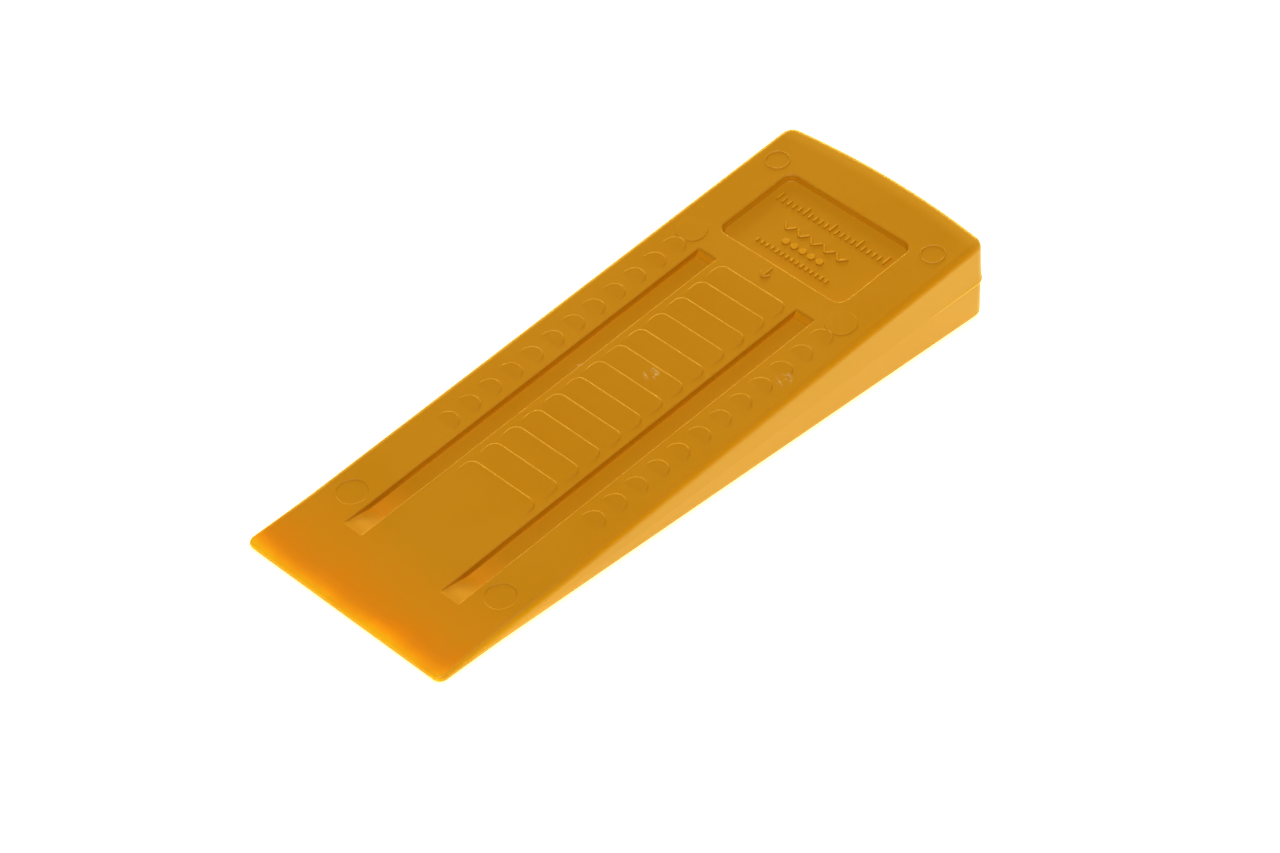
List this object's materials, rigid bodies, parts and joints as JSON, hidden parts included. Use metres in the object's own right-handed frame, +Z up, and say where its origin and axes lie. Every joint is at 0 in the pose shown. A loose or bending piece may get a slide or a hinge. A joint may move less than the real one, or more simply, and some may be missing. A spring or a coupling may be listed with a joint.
{
  "type": "felling wedge",
  "caption": "Moulded plastic felling wedge with channelled faces, low climbing steps and scales, a sunk panel and a crowned striking end.",
  "frame": {"origin": "centre of the bounding box in plan, on the surface that the wedge lies on", "axes": "+X along the wedge from the thin edge to the struck end, +Y across it, +Z up; the underside's face is level and the upper face climbs towards +X"},
  "size_m": [0.2, 0.0706, 0.0262],
  "materials": {
    "wedge_plastic": "satin moulded, slightly translucent amber yellow"
  },
  "bodies": {
    "root": {"wedge_body": "wedge_plastic"}
  },
  "joints": []
}
